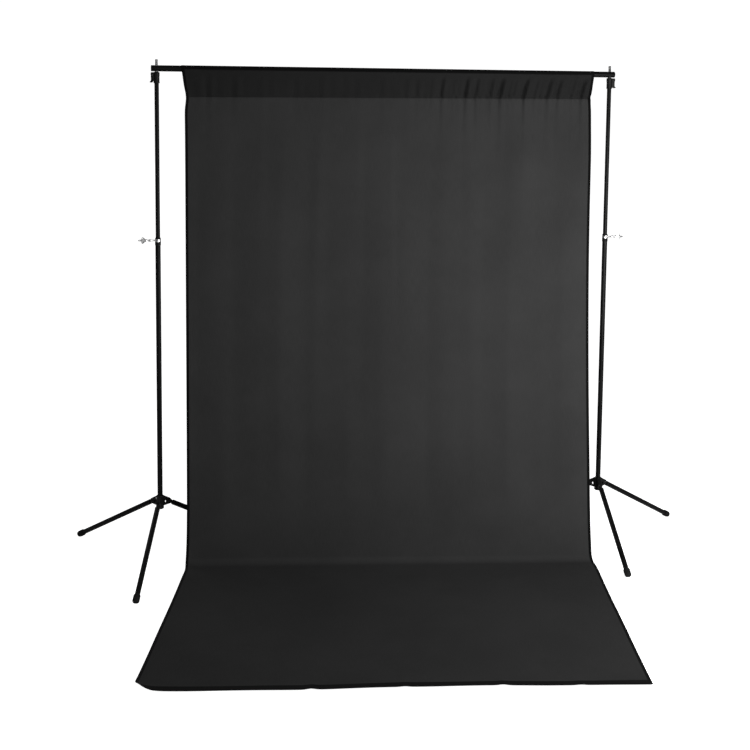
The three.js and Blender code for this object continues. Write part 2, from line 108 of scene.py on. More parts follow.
def finished(name, mesh, material, angle=SHARP_ANGLE):
    """A new object of this mesh, smooth apart from its sharp corners."""
    piece = bpy.data.objects.new(name, mesh)
    bpy.context.scene.collection.objects.link(piece)
    mesh.materials.append(material)
    mesh.polygons.foreach_set("use_smooth", [True] * len(mesh.polygons))
    mesh.set_sharp_from_angle(angle=math.radians(angle))
    return piece


def turned_mesh(profile, sides=48, closed=False):
    """A shape turned about Z from [radius, height] points. closed joins the last point to the first."""
    on_axis = 1e-7
    shape = bmesh.new()
    rings = []
    for radius, height in profile:
        if radius < on_axis:
            rings.append([shape.verts.new((0, 0, height))])
            continue
        turns = (2 * math.pi * i / sides for i in range(sides))
        ring = ((radius * math.cos(a), radius * math.sin(a), height) for a in turns)
        rings.append([shape.verts.new(point) for point in ring])
    pairs = list(zip(rings, rings[1:]))
    if closed:
        pairs.append((rings[-1], rings[0]))
    for low, high in pairs:
        for i in range(sides):
            j = (i + 1) % sides
            quad = [low[i % len(low)], low[j % len(low)], high[j % len(high)], high[i % len(high)]]
            corners = list(dict.fromkeys(quad))
            if len(corners) > 2:
                shape.faces.new(corners)
    bmesh.ops.recalc_face_normals(shape, faces=shape.faces)
    mesh = bpy.data.meshes.new("turned")
    shape.to_mesh(mesh)
    shape.free()
    return mesh


def turned(name, profile, material, place=Matrix.Identity(4), sides=48, soft=0.4 * MM):
    """A turned piece whose profile starts and ends on the axis."""
    mesh = turned_mesh(soften(profile, soft), sides)
    mesh.transform(place)
    return finished(name, mesh, material)


def tube(name, outer, inner, length, material, place, sides=56):
    """A tube with rolled ends that stands on the origin of its place."""
    middle = (inner, length / 2)
    edge = [middle, (inner, 0), (outer, 0), (outer, length), (inner, length), middle]
    mesh = turned_mesh(soften(edge, 0.45 * MM)[:-1], sides, closed=True)
    mesh.transform(place)
    return finished(name, mesh, material)


def evaluated_mesh(piece):
    """A copy of an object's mesh, with its bevel or its modifiers applied."""
    bpy.context.view_layer.update()
    graph = bpy.context.evaluated_depsgraph_get()
    return bpy.data.meshes.new_from_object(piece.evaluated_get(graph))


def flat_piece(name, outlines, thickness, material, place, bevel=0.5 * MM):
    """A plate with rounded edges, from an outline and any holes, centred on its own plane."""
    curve = bpy.data.curves.new(name, "CURVE")
    curve.dimensions = "2D"
    curve.fill_mode = "BOTH"
    curve.extrude = thickness / 2 - bevel
    curve.bevel_depth = bevel
    curve.bevel_resolution = 2
    curve.offset = -bevel
    for outline in outlines:
        spline = curve.splines.new("POLY")
        spline.points.add(len(outline) - 1)
        for point, (x, y) in zip(spline.points, outline):
            point.co = (x, y, 0, 1)
        spline.use_cyclic_u = True
    holder = bpy.data.objects.new(name + "_outline", curve)
    bpy.context.scene.collection.objects.link(holder)
    mesh = evaluated_mesh(holder)
    bpy.data.objects.remove(holder)
    bpy.data.curves.remove(curve)
    shape = bmesh.new()
    shape.from_mesh(mesh)
    bmesh.ops.remove_doubles(shape, verts=shape.verts, dist=0.01 * MM)
    shape.to_mesh(mesh)
    shape.free()
    mesh.materials.clear()
    mesh.transform(place)
    return finished(name, mesh, material)


def arc(x, y, radius, start, end, steps=16):
    """Points of an arc, in degrees."""
    turns = (math.radians(start + (end - start) * i / steps) for i in range(steps + 1))
    return [(x + radius * math.cos(a), y + radius * math.sin(a)) for a in turns]


def round_hole(radius):
    """The outline of a round hole at the origin."""
    return arc(0, 0, radius, 0, 345, 23)


def rounded_slot(x, y, width, height, radius):
    """A rectangle with rounded corners."""
    made = []
    for turn, (sx, sy) in zip((0, 90, 180, 270), ((1, 1), (-1, 1), (-1, -1), (1, -1))):
        middle = (x + sx * (width / 2 - radius), y + sy * (height / 2 - radius))
        made += arc(*middle, radius, turn, turn + 90, 5)
    return made


def joined(name, parts):
    """One piece made of several, keeping their materials."""
    for other in bpy.context.selected_objects:
        other.select_set(False)
    for part in parts:
        part.select_set(True)
    bpy.context.view_layer.objects.active = parts[0]
    bpy.ops.object.join()
    parts[0].name = name
    parts[0].data.name = name
    return parts[0]


def cut_hole(piece, radius, place):
    """Drills a round hole through a piece along Z of place."""
    reach = 30 * MM
    bit = [(0, -reach), (radius, -reach), (radius, reach), (0, reach)]
    tool = bpy.data.objects.new("drill", turned_mesh(bit, 32))
    tool.data.transform(place)
    bpy.context.scene.collection.objects.link(tool)
    drill = piece.modifiers.new("hole", "BOOLEAN")
    drill.operation = "DIFFERENCE"
    drill.solver = "EXACT"
    drill.object = tool
    mesh = evaluated_mesh(piece)
    piece.modifiers.clear()
    piece.data = mesh
    mesh.set_sharp_from_angle(angle=math.radians(SHARP_ANGLE))
    bpy.data.objects.remove(tool)


# ------------ node groups


class Graph:
    """A short way to write shader nodes.

    node() adds one, with its inputs set or linked by name or index."""

    def __init__(self, tree):
        self.tree = tree

    def node(self, kind, inputs=None, **settings):
        made = self.tree.nodes.new("ShaderNode" + kind)
        for key, value in settings.items():
            setattr(made, key, value)
        return self.feed(made, inputs or {})

    def feed(self, made, inputs):
        for key, value in inputs.items():
            if isinstance(value, bpy.types.NodeSocket):
                self.tree.links.new(value, made.inputs[key])
            else:
                made.inputs[key].default_value = value
        return made

    def math(self, operation, a, b=0.0, clamp=False):
        return self.node("Math", {0: a, 1: b}, operation=operation, use_clamp=clamp).outputs[0]

    def spread(self, value, low, high, to_low=0.0, to_high=1.0):
        ports = {"Value": value, "From Min": low, "From Max": high, "To Min": to_low, "To Max": to_high}
        return self.node("MapRange", ports, interpolation_type="SMOOTHSTEP").outputs["Result"]

    def mix(self, share, a, b):
        return self.node("Mix", {0: share, 6: a, 7: b}, data_type="RGBA").outputs[2]


def effect(name, numbers, results, build):
    """A shader node group with these numbers as inputs.

    build gets the graph and the inputs, and gives the results."""
    tree = bpy.data.node_groups.new(name, "ShaderNodeTree")
    for label, value in numbers.items():
        port = tree.interface.new_socket(label, in_out="INPUT", socket_type="NodeSocketFloat")
        port.default_value = value
    for label, kind in results.items():
        tree.interface.new_socket(label, in_out="OUTPUT", socket_type="NodeSocket" + kind)
    graph = Graph(tree)
    start = tree.nodes.new("NodeGroupInput")
    end = tree.nodes.new("NodeGroupOutput")
    for port, value in zip(end.inputs, build(graph, start.outputs)):
        tree.links.new(value, port)
    return tree


def build_grain(g, ports):
    place = g.node("TexCoord").outputs["Object"]
    fine = g.node("TexNoise", {"Vector": place, "Scale": ports["Size"], "Detail": 4.0, "Roughness": 0.6})
    broad = g.node("TexNoise", {"Vector": place, "Scale": 14.0, "Detail": 3.0})
    height = g.math("MULTIPLY", fine.outputs["Fac"], ports["Depth"])
    return height, g.spread(broad.outputs["Fac"], 0.35, 0.65)


def build_handling(g, ports):
    place = g.node("TexCoord").outputs["Object"]
    stretch = g.node("Mapping", {"Vector": place, "Scale": (260.0, 260.0, 24.0)}).outputs["Vector"]
    lines = g.node("TexNoise", {"Vector": stretch, "Scale": 1.0, "Detail": 2.0}).outputs["Fac"]
    patch = g.node("TexNoise", {"Vector": place, "Scale": 9.0, "Detail": 2.0}).outputs["Fac"]
    scratch = g.math("MULTIPLY", g.spread(lines, 0.62, 0.7), g.spread(patch, 0.5, 0.68))
    edge = g.node("NewGeometry").outputs["Pointiness"]
    worn = g.math("MULTIPLY", g.spread(edge, 0.52, 0.6), g.spread(patch, 0.35, 0.6))
    return g.math("MULTIPLY", scratch, ports["Scratches"]), g.math("MULTIPLY", worn, ports["Worn edges"])


def build_weave(g, ports):
    place = g.node("TexCoord").outputs["UV"]
    turned_place = g.node("Mapping", {"Vector": place, "Rotation": (0, 0, math.pi / 2)}).outputs["Vector"]
    threads = []
    for vector in (place, turned_place):
        wave = {"Vector": vector, "Scale": ports["Threads"], "Distortion": 0.4, "Detail": 1.0}
        threads.append(g.node("TexWave", wave, bands_direction="X").outputs["Fac"])
    weave = g.math("MAXIMUM", *threads)
    slub_place = g.node("Mapping", {"Vector": place, "Scale": (900.0, 28.0, 1.0)}).outputs["Vector"]
    slub = g.node("TexNoise", {"Vector": slub_place, "Scale": 1.0, "Detail": 2.0}).outputs["Fac"]
    soft_noise = {"Vector": place, "Scale": 3.2, "Detail": 5.0, "Roughness": 0.62}
    cloud = g.node("TexNoise", soft_noise).outputs["Fac"]
    height = g.math("ADD", g.math("MULTIPLY", weave, 0.6), g.math("MULTIPLY", slub, 0.4))
    return height, g.spread(slub, 0.3, 0.75), g.spread(cloud, 0.3, 0.7)


GRAIN = effect(
    "Moulded grain",
    {"Size": 900.0, "Depth": 1.0},
    {"Height": "Float", "Patches": "Float"},
    build_grain,
)
HANDLING = effect(
    "Handling marks",
    {"Scratches": 1.0, "Worn edges": 1.0},
    {"Scratches": "Float", "Worn edges": "Float"},
    build_handling,
)
WEAVE = effect(
    "Plain weave",
    {"Threads": 420.0},
    {"Height": "Float", "Slubs": "Float", "Clouds": "Float"},
    build_weave,
)


# ------------ materials


def blank(name):
    material = bpy.data.materials.new(name)
    material.use_nodes = True
    graph = Graph(material.node_tree)
    return material, graph, material.node_tree.nodes["Principled BSDF"]


def group(graph, tree, **numbers):
    node = graph.node("Group", node_tree=tree)
    for label, value in numbers.items():
        node.inputs[label.replace("_", " ")].default_value = value
    return node.outputs


def grey(value):
    return (value, value, value, 1)


def solid_finish(name, tones, rough, grain, marks, mark_tone, metallic=0.0, level=0.5):
    """A hard surface: a base tone that drifts, fine grain, and scratches and worn edges.

    tones and rough are ranges, grain is its size and depth, and marks are the amounts of
    scratches and of worn edges."""
    material, g, shader = blank(name)
    texture = group(g, GRAIN, Size=grain[0], Depth=1.0)
    wear = group(g, HANDLING, Scratches=marks[0], Worn_edges=marks[1])
    tone = g.mix(texture["Patches"], grey(tones[0]), grey(tones[1]))
    mark = g.math("MAXIMUM", wear["Scratches"], wear["Worn edges"], clamp=True)
    roughness = g.spread(texture["Patches"], 0.0, 1.0, rough[0], rough[1])
    bump = g.node("Bump", {"Height": texture["Height"], "Strength": grain[1], "Distance": 0.2 * MM})
    g.feed(shader, {
        "Base Color": g.mix(mark, tone, grey(mark_tone)),
        "Roughness": g.math("ADD", roughness, g.math("MULTIPLY", mark, 0.12)),
        "Normal": bump.outputs["Normal"],
        "Metallic": metallic,
        "Specular IOR Level": level,
    })
    return material


def cloth_finish():
    """Black woven cloth with painted shade in its colour: the pocket is painted darker than the
    single-layer drop, the part lying on the floor darker too, and the hems and the top of the wrap over the
    bar near black.
    """
    material, g, shader = blank("black_backdrop_cloth")
    weave = group(g, WEAVE, Threads=420.0)
    pocket_shade_mask, sweep, hem = (
        g.node("Attribute", attribute_name=mask).outputs["Fac"] for mask in ("pocket_shade", "sweep", "hem")
    )
    single = g.mix(weave["Clouds"], grey(0.0255), grey(0.0305))
    single = g.mix(g.math("MULTIPLY", weave["Slubs"], 0.25), single, grey(0.041))
    # painted shade: the part lying on the floor is painted darker than the hanging drop, standing in for
    # the back light it does not get
    lying = g.mix(sweep, single, g.mix(weave["Clouds"], grey(0.0175), grey(0.021)))
    # painted shade: the pocket is painted darker than the drop, standing in for the back light that two
    # layers of cloth stop
    pocket_shade = g.mix(pocket_shade_mask, lying, g.mix(weave["Clouds"], grey(0.0118), grey(0.014)))
    bump = g.node("Bump", {"Height": weave["Height"], "Strength": 0.35, "Distance": 0.3 * MM})
    g.feed(shader, {
        # painted shade: the hems and the top of the wrap over the bar are painted near black
        "Base Color": g.mix(hem, pocket_shade, grey(0.0015)),
        "Roughness": g.spread(weave["Slubs"], 0.0, 1.0, 0.92, 0.8),
        "Normal": bump.outputs["Normal"],
        "Specular IOR Level": 0.1,
        "Sheen Weight": 0.02,
        "Sheen Roughness": 0.5,
    })
    return material


TUBE_COAT = solid_finish(
    "satin_black_tube", (0.0025, 0.0045), (0.4, 0.5), (1600.0, 0.1), (0.2, 0.15), 0.03, level=0.12
)
MOULDING = solid_finish(
    "moulded_black_plastic", (0.003, 0.006), (0.46, 0.58), (2400.0, 0.25), (0.25, 0.25), 0.025, level=0.2
)
CHROME = solid_finish(
    "bright_chrome", (0.88, 0.94), (0.14, 0.24), (700.0, 0.02), (0.35, 0.2), 0.6, metallic=1.0
)
PIN_STEEL = solid_finish(
    "satin_pin_steel", (0.2, 0.3), (0.3, 0.42), (900.0, 0.05), (0.4, 0.5), 0.16, metallic=1.0
)
RIVET = solid_finish(
    "blackened_rivet", (0.012, 0.022), (0.38, 0.5), (1800.0, 0.1), (0.4, 0.8), 0.16, metallic=0.7
)
RUBBER = solid_finish(
    "black_rubber", (0.004, 0.009), (0.7, 0.86), (1300.0, 0.4), (0.2, 0.4), 0.02, level=0.2
)
THREAD = solid_finish(
    "black_thread", (0.012, 0.018), (0.6, 0.75), (3000.0, 0.3), (0.0, 0.0), 0.12, level=0.3
)
CLOTH = cloth_finish()


# ------------ crossbar

BAR_RADIUS = 11 * MM
BAR_WALL = 1.2 * MM
NECK_RADIUS = BAR_RADIUS - BAR_WALL - 0.3 * MM
NECK_REACH = 60 * MM
PIN_RADIUS = 4.75 * MM


def bar_place(x):
    """A point on the crossbar's axis, level."""
    return Matrix.Translation((x, BAR.y, BAR.z))


def crossbar_tubes():
    for node in ("crossbar_left", "crossbar_middle", "crossbar_right"):
        low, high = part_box(node)
        if node == "crossbar_middle":
            low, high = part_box("crossbar_left")[1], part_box("crossbar_right")[0]
        gap = 0.15 * MM
        place, length = bar_place(low[0] + gap) @ ALONG_X, high[0] - low[0] - 2 * gap
        piece = tube(f"{node}_tube", BAR_RADIUS, BAR_RADIUS - BAR_WALL, length, TUBE_COAT, place)
        side = node.split("_")[1]
        if side in SIDES:
            cut_hole(piece, PIN_RADIUS + 0.35 * MM, bar_place(MAST[side].x))
        else:
            sections = [piece]
            bore = NECK_RADIUS - BAR_WALL
            for end, at in (("left", low[0] - NECK_REACH), ("right", high[0])):
                place = bar_place(at) @ ALONG_X
                sections.append(tube(f"neck_{end}", NECK_RADIUS, bore, NECK_REACH, TUBE_COAT, place))
            piece = joined(f"{node}_tube", sections)
        stands_for(piece, node, "crossbar")


def bar_plugs():
    for side in SIDES:
        node = f"crossbar_plug_{side}"
        low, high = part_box(node)
        outer = (low[0], high[0])[OUTWARD[side] > 0]
        head, seat, tip = BAR_RADIUS + 0.3 * MM, -3.7 * MM, -11.9 * MM
        profile = [
            (0, tip), (NECK_RADIUS, tip), (NECK_RADIUS, seat), (head, seat), (head, -2 * MM),
            (head - 1.7 * MM, -0.5 * MM), (4 * MM, 0), (3.4 * MM, -0.5 * MM), (0, -0.6 * MM),
        ]
        turn = ALONG_X if OUTWARD[side] > 0 else Matrix.Rotation(-math.pi / 2, 4, "Y")
        piece = turned(f"end_plug_{side}", profile, MOULDING, bar_place(outer) @ turn, soft=1.2 * MM)
        stands_for(piece, node, "crossbar")


# ------------ masts

UPPER_RADIUS = 8 * MM
LOWER_RADIUS = 9.5 * MM
SOCKET_RADIUS = 11 * MM
LEVER_WIDTH = 8 * MM
LEVER_PIN_HOLE = 1.75 * MM
CLAMP_SCREW_HOLE = 3.25 * MM


def facing(side):
    """Turns +X to point outwards, away from the middle of the set."""
    return Matrix.Rotation(0 if OUTWARD[side] > 0 else math.pi, 4, "Z")


def mast_place(side, height):
    """The mast's own place at this height, with +X pointing outwards."""
    return Matrix.Translation((MAST[side].x, MAST[side].y, height)) @ facing(side)


def stand_tubes(side):
    for section, radius, bore in (("upper", UPPER_RADIUS, 7 * MM), ("lower", LOWER_RADIUS, 8.4 * MM)):
        node = f"{side}_{section}_tube"
        low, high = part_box(node)
        length, place = high[2] - low[2], mast_place(side, low[2])
        piece = tube(f"{node}_finish", radius, bore, length, TUBE_COAT, place)
        stands_for(piece, node, f"{side}_{section}")


def spigot(side):
    low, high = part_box(f"{side}_spigot")
    body, shoulder = 6.6 * MM, BAR.z - BAR_RADIUS - 0.3 * MM - low[2]
    top = high[2] - low[2]
    groove = top - 9 * MM
    profile = [
        (0, 0), (body, 0), (body, shoulder), (PIN_RADIUS, shoulder), (PIN_RADIUS, groove - 2 * MM),
        (4.1 * MM, groove - 1.4 * MM), (4.1 * MM, groove + 0.6 * MM), (PIN_RADIUS, groove + 1.2 * MM),
        (PIN_RADIUS, top - 1.4 * MM), (3.4 * MM, top), (0, top),
    ]
    piece = turned(f"{side}_spigot_pin", profile, PIN_STEEL, mast_place(side, low[2]), soft=0.5 * MM)
    stands_for(piece, f"{side}_spigot", f"{side}_upper")


def top_socket(side):
    low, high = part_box(f"{side}_top_socket")
    top = high[2] - low[2]
    inner, outer, throat = 8.2 * MM, SOCKET_RADIUS, 6.9 * MM
    waist = outer - 0.6 * MM
    profile = [
        (inner, top / 2), (inner, 0), (outer - 0.8 * MM, 0), (outer, 1.2 * MM), (outer, 4 * MM),
        (waist, 4.6 * MM), (waist, top - 14 * MM), (outer, top - 13.4 * MM), (outer, top - 1.6 * MM),
        (outer - 1.6 * MM, top), (throat, top), (throat, top - 20 * MM), (inner, top - 20.3 * MM),
        (inner, top / 2 - 0.1 * MM),
    ]
    mesh = turned_mesh(soften(profile, 0.5 * MM), 56, closed=True)
    mesh.transform(mast_place(side, low[2]))
    sleeve = finished(f"{side}_socket", mesh, MOULDING)
    hinge_height = JOINTS[f"{side}_lever_flip"]["pos_m"][2]
    root = 8.6 * MM
    ear = [
        (root, -24 * MM), (13.5 * MM, -23 * MM), (16.4 * MM, -12 * MM), (18.6 * MM, -5 * MM),
        *arc(17.2 * MM, 0, 3.4 * MM, -40, 0, 6), *arc(17.6 * MM, 6 * MM, 3 * MM, 0, 90, 8), (root, 9 * MM),
    ]
    hole = arc(15 * MM, 0, LEVER_PIN_HOLE, 0, 345, 23)
    parts = [sleeve]
    for i, y in enumerate((-5.6 * MM, 5.6 * MM)):
        place = mast_place(side, hinge_height) @ Matrix.Translation((0, y, 0)) @ UPRIGHT
        parts.append(flat_piece(f"{side}_ear_{i}", [ear, hole], 2.6 * MM, MOULDING, place))
    piece = joined(f"{side}_socket", parts)
    stands_for(piece, f"{side}_top_socket", f"{side}_upper")


def lever_outline():
    """The cam lever from the side: a round cam, a blade with finger grooves and a flared tip."""
    outer, inner = 5.5 * MM, -3.2 * MM
    sunk, first, pitch = outer - 0.5 * MM, -6.6 * MM, 2.3 * MM
    grooves = []
    for i in range(6):
        at = first - i * pitch
        grooves += [(outer, at), (sunk, at - 0.5 * MM), (sunk, at - 1.1 * MM), (outer, at - 1.6 * MM)]
    return [
        *arc(0, 0, 3.6 * MM, 185, 0, 20), (5 * MM, -2.4 * MM), (outer, -4.6 * MM), *grooves,
        (outer + 0.6 * MM, -22.2 * MM), (8.9 * MM, -24.2 * MM), (9.5 * MM, -25.6 * MM),
        (8.7 * MM, -27.4 * MM), (1.6 * MM, -28 * MM), (-1.8 * MM, -26 * MM), (inner, -23.6 * MM),
        (inner, -4.6 * MM),
    ]


def flip_lever(side):
    hinge = Vector(JOINTS[f"{side}_lever_flip"]["pos_m"])
    upright = Matrix.Translation(hinge) @ facing(side) @ UPRIGHT
    outlines = [lever_outline(), round_hole(LEVER_PIN_HOLE)]
    blade = flat_piece(f"{side}_flip_lever", outlines, LEVER_WIDTH, MOULDING, upright, 0.8 * MM)
    stands_for(blade, f"{side}_lock_lever", f"{side}_lever")
    half, radius = 7.6 * MM, 1.5 * MM
    profile = [(0, -half), (radius, -half), (radius, half), (0, half)]
    pin = turned(f"{side}_lever_hinge_pin", profile, RIVET, upright, 24, 0.4 * MM)
    stands_for(pin, f"{side}_lever_pin", f"{side}_upper")


def clamp(side):
    """The ribbed sleeve that grips both tubes, and the chrome band in its groove."""
    low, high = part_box(f"{side}_clamp_collar")
    screw = Vector(JOINTS[f"{side}_screw_turn"]["pos_m"])
    middle, top = screw.z - low[2], high[2] - low[2]
    bore, skirt, core, flange, throat = 9.75 * MM, 10.8 * MM, 9.6 * MM, 10.2 * MM, 8.25 * MM
    step = middle - 7.7 * MM
    groove, sunk = 5.3 * MM, skirt - 0.4 * MM
    ribs = []
    for i in range(3):
        at = 2.6 * MM + i * 3 * MM
        ribs += [(skirt, at), (sunk, at + 0.5 * MM), (sunk, at + 1.3 * MM), (skirt, at + 1.8 * MM)]
    profile = [
        (bore, step / 2), (bore, 0), (skirt - 0.5 * MM, 0), (skirt, 1.4 * MM), *ribs,
        (skirt, middle - groove), (core, middle - groove), (core, middle + groove),
        (flange, middle + groove), (flange, top - 1.2 * MM), (flange - 1 * MM, top), (throat, top),
        (throat, step), (bore, step), (bore, step / 2 + 0.1 * MM),
    ]
    mesh = turned_mesh(soften(profile, 0.35 * MM), 56, closed=True)
    mesh.transform(mast_place(side, low[2]))
    sleeve = finished(f"{side}_clamp_sleeve", mesh, MOULDING)
    half, inner, outer = 5 * MM, 9.9 * MM, 10.6 * MM
    lip, hollow, bead, slope = outer - 0.2 * MM, outer - 0.15 * MM, half - 0.5 * MM, half - 1.5 * MM
    edge = [
        (inner, 0), (inner, -half), (lip, -half), (outer, -bead), (hollow, -slope),
        (hollow, slope), (outer, bead), (lip, half), (inner, half), (inner, 0.1 * MM),
    ]
    mesh = turned_mesh(soften(edge, 0.2 * MM), 64, closed=True)
    mesh.transform(mast_place(side, screw.z))
    band = finished(f"{side}_chrome_band", mesh, CHROME)
    across = mast_place(side, screw.z) @ ALONG_X @ Matrix.Translation((0, 0, 33 * MM))
    for piece, node, finish in (
        (sleeve, "clamp_collar", "moulding_black"),
        (band, "clamp_band", "chrome_plate"),
    ):
        cut_hole(piece, CLAMP_SCREW_HOLE, across)
        stands_for(piece, f"{side}_{node}", f"{side}_lower")


def wing_screw(side):
    """A threaded shank with a round shoulder, a neck and two rounded wings."""
    at = mast_place(side, JOINTS[f"{side}_screw_turn"]["pos_m"][2])
    pitch, turns, first = 1.25 * MM, 11, 11 * MM
    root, crest, shoulder, grip = 2.55 * MM, 2.95 * MM, 4.4 * MM, 4.9 * MM
    thread = []
    for i in range(turns):
        start = first + i * pitch
        thread += [(root, start), (crest, start + pitch * 0.45)]
    profile = [
        (0, 9.4 * MM), (2.3 * MM, 9.4 * MM), *thread, (2.9 * MM, 25.6 * MM), (shoulder, 26.6 * MM),
        (shoulder, 33 * MM), (2.9 * MM, 34 * MM), (2.8 * MM, 38 * MM), (4.7 * MM, 41.5 * MM),
        (grip, 46 * MM), (grip, 58 * MM), (3.2 * MM, 62 * MM), (2.7 * MM, 69.5 * MM),
        (1.8 * MM, 71 * MM), (0, 71 * MM),
    ]
    shank = turned(f"{side}_wing_screw", profile, CHROME, at @ ALONG_X, 40, 0.25 * MM)
    wing = [
        (44 * MM, 0), (45.6 * MM, 3.4 * MM), (47.2 * MM, 7.6 * MM),
        *arc(54.6 * MM, 7.6 * MM, 4.4 * MM, 152, 18, 14),
        (58.2 * MM, 4.6 * MM), (57.4 * MM, 2 * MM), (57 * MM, 0),
    ]
    parts = [shank]
    for i, turn in enumerate((0, math.pi)):
        place = at @ Matrix.Rotation(turn, 4, "X") @ UPRIGHT
        parts.append(flat_piece(f"{side}_wing_{i}", [wing], 3 * MM, CHROME, place, 1.1 * MM))
    piece = joined(f"{side}_wing_screw", parts)
    stands_for(piece, f"{side}_clamp_screw", f"{side}_screw")


# ------------ hub and legs

LEG_RADIUS = 9.2 * MM
LEG_WALL = 1.2 * MM
HINGE_OUT = 33 * MM
HINGE_HEIGHT = JOINTS["left_outer_leg_fold"]["pos_m"][2]
FOOT_OUT, FOOT_UP = 406 * MM, 12 * MM
LEG_PIN_HOLE = 2.8 * MM
LEG_SLOPE = math.atan2(HINGE_HEIGHT - FOOT_UP, FOOT_OUT - HINGE_OUT)
FOOT_ALONG = math.hypot(HINGE_HEIGHT - FOOT_UP, FOOT_OUT - HINGE_OUT)


def heading(side, place):
    axis = JOINTS[f"{side}_{place}_leg_fold"]["axis"]
    return math.atan2(-axis[0], axis[1])


def arm_place(side, place):
    """The hub's hinge for one leg, level, with +X pointing outwards along the arm."""
    at = Vector(JOINTS[f"{side}_{place}_leg_fold"]["pos_m"])
    return Matrix.Translation(at) @ Matrix.Rotation(heading(side, place), 4, "Z")


def hub_arm(side, place):
    """Two cheeks with a window, joined along their sloping top."""
    at = arm_place(side, place)
    root, ear = -22 * MM, 10.5 * MM
    edge_x, edge_z = ear * math.sin(LEG_SLOPE), ear * math.cos(LEG_SLOPE)
    top = edge_z + (edge_x - root) * math.tan(LEG_SLOPE)
    round_end = arc(0, 0, ear, 90 - math.degrees(LEG_SLOPE), -90, 24)
    cheek = [(root, top), *round_end, (root, -ear - 4 * MM)]
    window = rounded_slot(-12.8 * MM, -1 * MM, 6.5 * MM, 11 * MM, 1.5 * MM)
    outlines = [cheek, window, round_hole(LEG_PIN_HOLE)]
    parts = []
    for i, y in enumerate((-4.8 * MM, 4.8 * MM)):
        cheek_place = at @ Matrix.Translation((0, y, 0)) @ UPRIGHT
        parts.append(flat_piece(f"cheek_{i}", outlines, 3 * MM, MOULDING, cheek_place, 0.6 * MM))
    length, width = (edge_x - root) / math.cos(LEG_SLOPE), 11 * MM
    lid = rounded_slot(-length / 2 + edge_x, 0, length, width, 1 * MM)
    lid_place = at @ Matrix.Rotation(LEG_SLOPE, 4, "Y")
    lid_place = lid_place @ Matrix.Translation((-edge_x, 0, ear - 1.75 * MM))
    parts.append(flat_piece("lid", [lid], 3.3 * MM, MOULDING, lid_place))
    return parts


def hub(side):
    half, radius = 25 * MM, 14 * MM
    waist, seat, foot_of_seat = radius - 0.7 * MM, 9.7 * MM, -21.2 * MM
    profile = [
        (0, -half), (8 * MM, -half), (radius - 2 * MM, -half), (radius, -half + 2.2 * MM),
        (radius, -half + 6 * MM), (waist, -half + 7 * MM), (waist, half - 6 * MM), (radius, half - 5 * MM),
        (radius, half - 1.5 * MM), (radius - 1.5 * MM, half), (seat, half), (seat, foot_of_seat),
        (0, foot_of_seat),
    ]
    boss = turned(f"{side}_hub_boss", profile, MOULDING, mast_place(side, HINGE_HEIGHT), 64, 0.6 * MM)
    cheeks = [part for place in PLACES for part in hub_arm(side, place)]
    piece = joined(f"{side}_leg_hub", [boss, *cheeks])
    stands_for(piece, f"{side}_hub", f"{side}_lower")


def hub_screw(side):
    away = centre(f"{side}_hub_screw") - MAST[side]
    turn = Matrix.Rotation(math.atan2(away.y, away.x), 4, "Z")
    shank, tip, seat, top = 1.9 * MM, 9.9 * MM, 14.3 * MM, 16.8 * MM
    profile = [
        (0, tip), (shank, tip), (shank, seat), (3.6 * MM, seat), (3.4 * MM, 15.9 * MM),
        (2.2 * MM, top), (1.5 * MM, top), (1.4 * MM, 15.4 * MM), (0, 15.3 * MM),
    ]
    place = Matrix.Translation((MAST[side].x, MAST[side].y, MAST[side].z + away.z)) @ turn @ ALONG_X
    piece = turned(f"{side}_hub_grub_screw", profile, CHROME, place, 32, 0.3 * MM)
    stands_for(piece, f"{side}_hub_screw", f"{side}_lower")


def leg_tongue(name, place):
    half, reach = 6.7 * MM, 18.5 * MM
    outlines = [[*arc(0, 0, half, 90, 270, 20), (reach, -half), (reach, half)], round_hole(LEG_PIN_HOLE)]
    tongue = flat_piece(f"{name}_tongue", outlines, 6 * MM, MOULDING, place @ UPRIGHT, 0.7 * MM)
    plug, rim = LEG_RADIUS - LEG_WALL - 0.35 * MM, LEG_RADIUS + 0.4 * MM
    start, seat, end = 16.1 * MM, 20 * MM, 44.8 * MM
    profile = [
        (0, start), (rim - 1.8 * MM, start), (rim, 17.6 * MM), (rim, seat), (plug, seat),
        (plug, end), (0, end),
    ]
    shoulder = turned(f"{name}_shoulder", profile, MOULDING, place @ ALONG_X, 48, 0.7 * MM)
    return joined(f"{name}_tongue", [tongue, shoulder])


def rubber_foot(name, place):
    """A ribbed cup whose underside is cut flat at the floor."""
    start, end = FOOT_ALONG - 15 * MM, FOOT_ALONG + 15 * MM
    outer, bore, floor_of_cup = 12.2 * MM, LEG_RADIUS + 0.25 * MM, end - 11.7 * MM
    sunk = outer - 0.8 * MM
    rings = []
    for i in range(3):
        at = start + 5 * MM + i * 4 * MM
        rings += [(outer, at), (sunk, at + 0.8 * MM), (sunk, at + 1.8 * MM), (outer, at + 2.6 * MM)]
    profile = [
        (0, floor_of_cup), (bore, floor_of_cup), (bore, start), (outer - 1.2 * MM, start),
        (outer, start + 1.8 * MM), *rings, (outer, end - 7 * MM), (outer - 0.9 * MM, end - 4 * MM),
        (outer - 3 * MM, end - 1.4 * MM), (outer - 6 * MM, end), (0, end),
    ]
    mesh = turned_mesh(soften(profile, 0.5 * MM), 48)
    mesh.transform(place @ ALONG_X)
    shape = bmesh.new()
    shape.from_mesh(mesh)
    every = shape.verts[:] + shape.edges[:] + shape.faces[:]
    cut = bmesh.ops.bisect_plane(
        shape, geom=every, plane_co=(0, 0, FLOOR), plane_no=(0, 0, 1), clear_inner=True
    )
    rim = [item for item in cut["geom_cut"] if isinstance(item, bmesh.types.BMEdge)]
    bmesh.ops.holes_fill(shape, edges=rim)
    shape.to_mesh(mesh)
    shape.free()
    return finished(f"{name}_rubber_foot", mesh, RUBBER)


